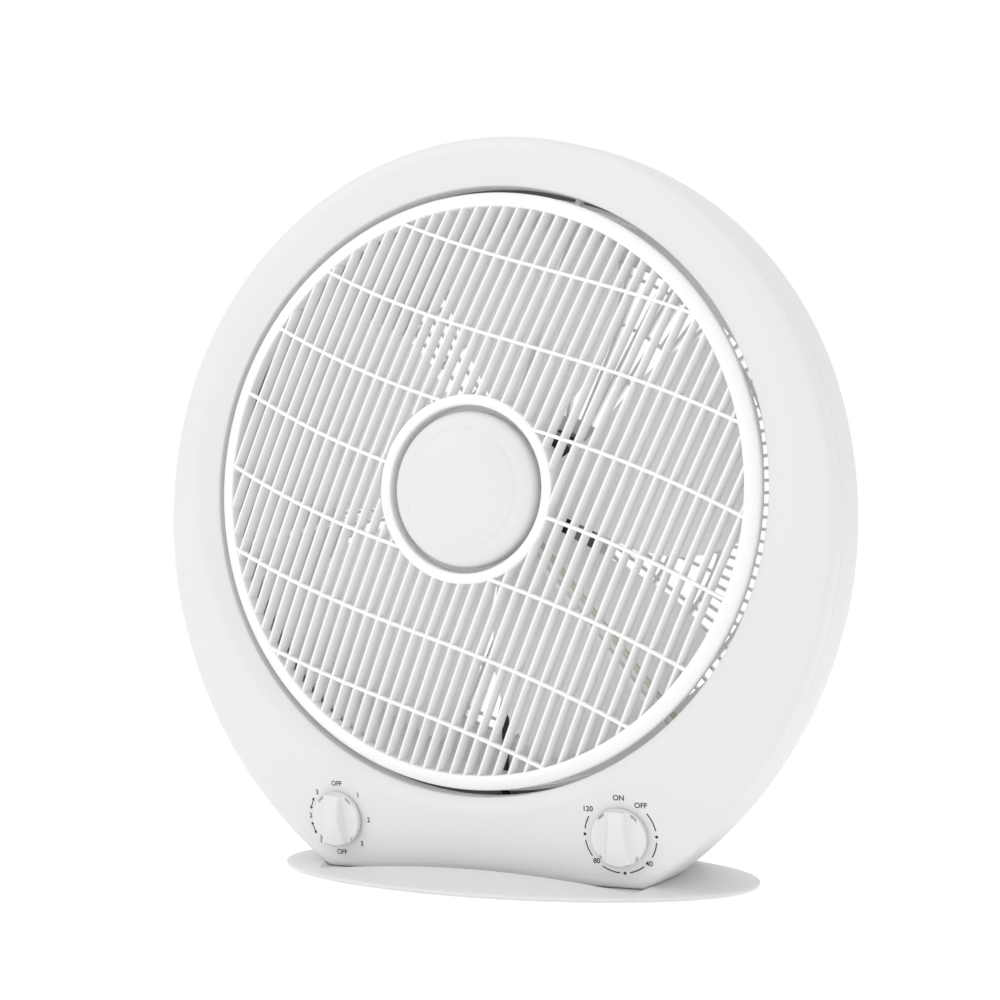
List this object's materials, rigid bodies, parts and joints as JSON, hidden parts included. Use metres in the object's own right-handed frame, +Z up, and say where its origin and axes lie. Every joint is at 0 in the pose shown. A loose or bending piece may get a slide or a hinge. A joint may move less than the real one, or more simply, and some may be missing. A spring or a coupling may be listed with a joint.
{
  "type": "box fan",
  "caption": "Free-standing round box fan on an oval foot, with a rotating louvre grille, a bladed impeller and two rotary controls.",
  "frame": {"origin": "middle of the foot's footprint, on the floor", "axes": "+Z up; the fan axis is level and along Y; the fan blows towards -Y; +X is to the right seen from the front"},
  "size_m": [0.465, 0.196, 0.4697],
  "materials": {
    "white_plastic": "satin",
    "grille_plastic": "satin",
    "blade_plastic": "satin",
    "black_plastic": "matte",
    "cream_plastic": "matte",
    "motor_enamel": "satin",
    "lamination_steel": "satin",
    "copper_wire": "satin",
    "bronze": "satin",
    "steel": "satin",
    "rubber": "matte"
  },
  "bodies": {
    "body": {"front_shell": "white_plastic", "rear_shell": "white_plastic", "air_duct": "grille_plastic", "rear_guard": "grille_plastic", "foot_plate": "white_plastic", "rubber_feet": "rubber", "foot_screws": "steel", "shell_screws": "steel", "guard_screws": "steel", "grille_spider": "grille_plastic", "spider_screws": "steel", "grille_motor": "cream_plastic", "grille_motor_screws": "steel", "motor_front_cover": "motor_enamel", "front_bearing": "bronze", "stator_core": "lamination_steel", "stator_windings": "copper_wire", "motor_rear_cover": "motor_enamel", "rear_bearing": "bronze", "motor_bolts": "steel", "motor_screws": "steel", "speed_switch": "cream_plastic", "timer": "cream_plastic", "control_screws": "steel", "run_capacitor": "black_plastic", "capacitor_screw": "steel", "terminal_block": "cream_plastic", "motor_lead": "black_plastic", "grille_motor_lead": "cream_plastic", "cord_gland": "black_plastic"},
    "grille": {"rotary_grille": "grille_plastic", "centre_cap": "white_plastic", "grille_screw": "steel", "grille_motor_shaft": "steel"},
    "fan_rotor": {"impeller": "blade_plastic", "spinner_nut": "white_plastic", "motor_shaft": "steel", "drive_pin": "steel", "rotor_core": "lamination_steel"},
    "speed_control": {"speed_knob": "white_plastic", "speed_switch_spindle": "steel"},
    "timer_control": {"timer_knob": "white_plastic", "timer_spindle": "steel"}
  },
  "joints": [
    {"name": "grille_spin", "type": "hinge", "parent": "body", "child": "grille", "pos_m": [0, -0.059, 0.245], "axis": [0, -1, 0], "continuous": true},
    {"name": "fan_spin", "type": "hinge", "parent": "body", "child": "fan_rotor", "pos_m": [0, 0, 0.245], "axis": [0, -1, 0], "continuous": true},
    {"name": "speed_turn", "type": "hinge", "parent": "body", "child": "speed_control", "pos_m": [-0.097, -0.05827, 0.0364], "axis": [0.052, 0.9922, 0.1132], "continuous": true},
    {"name": "timer_turn", "type": "hinge", "parent": "body", "child": "timer_control", "pos_m": [0.097, -0.05827, 0.0364], "axis": [-0.052, 0.9922, 0.1132], "range_deg": [0, 315]}
  ]
}
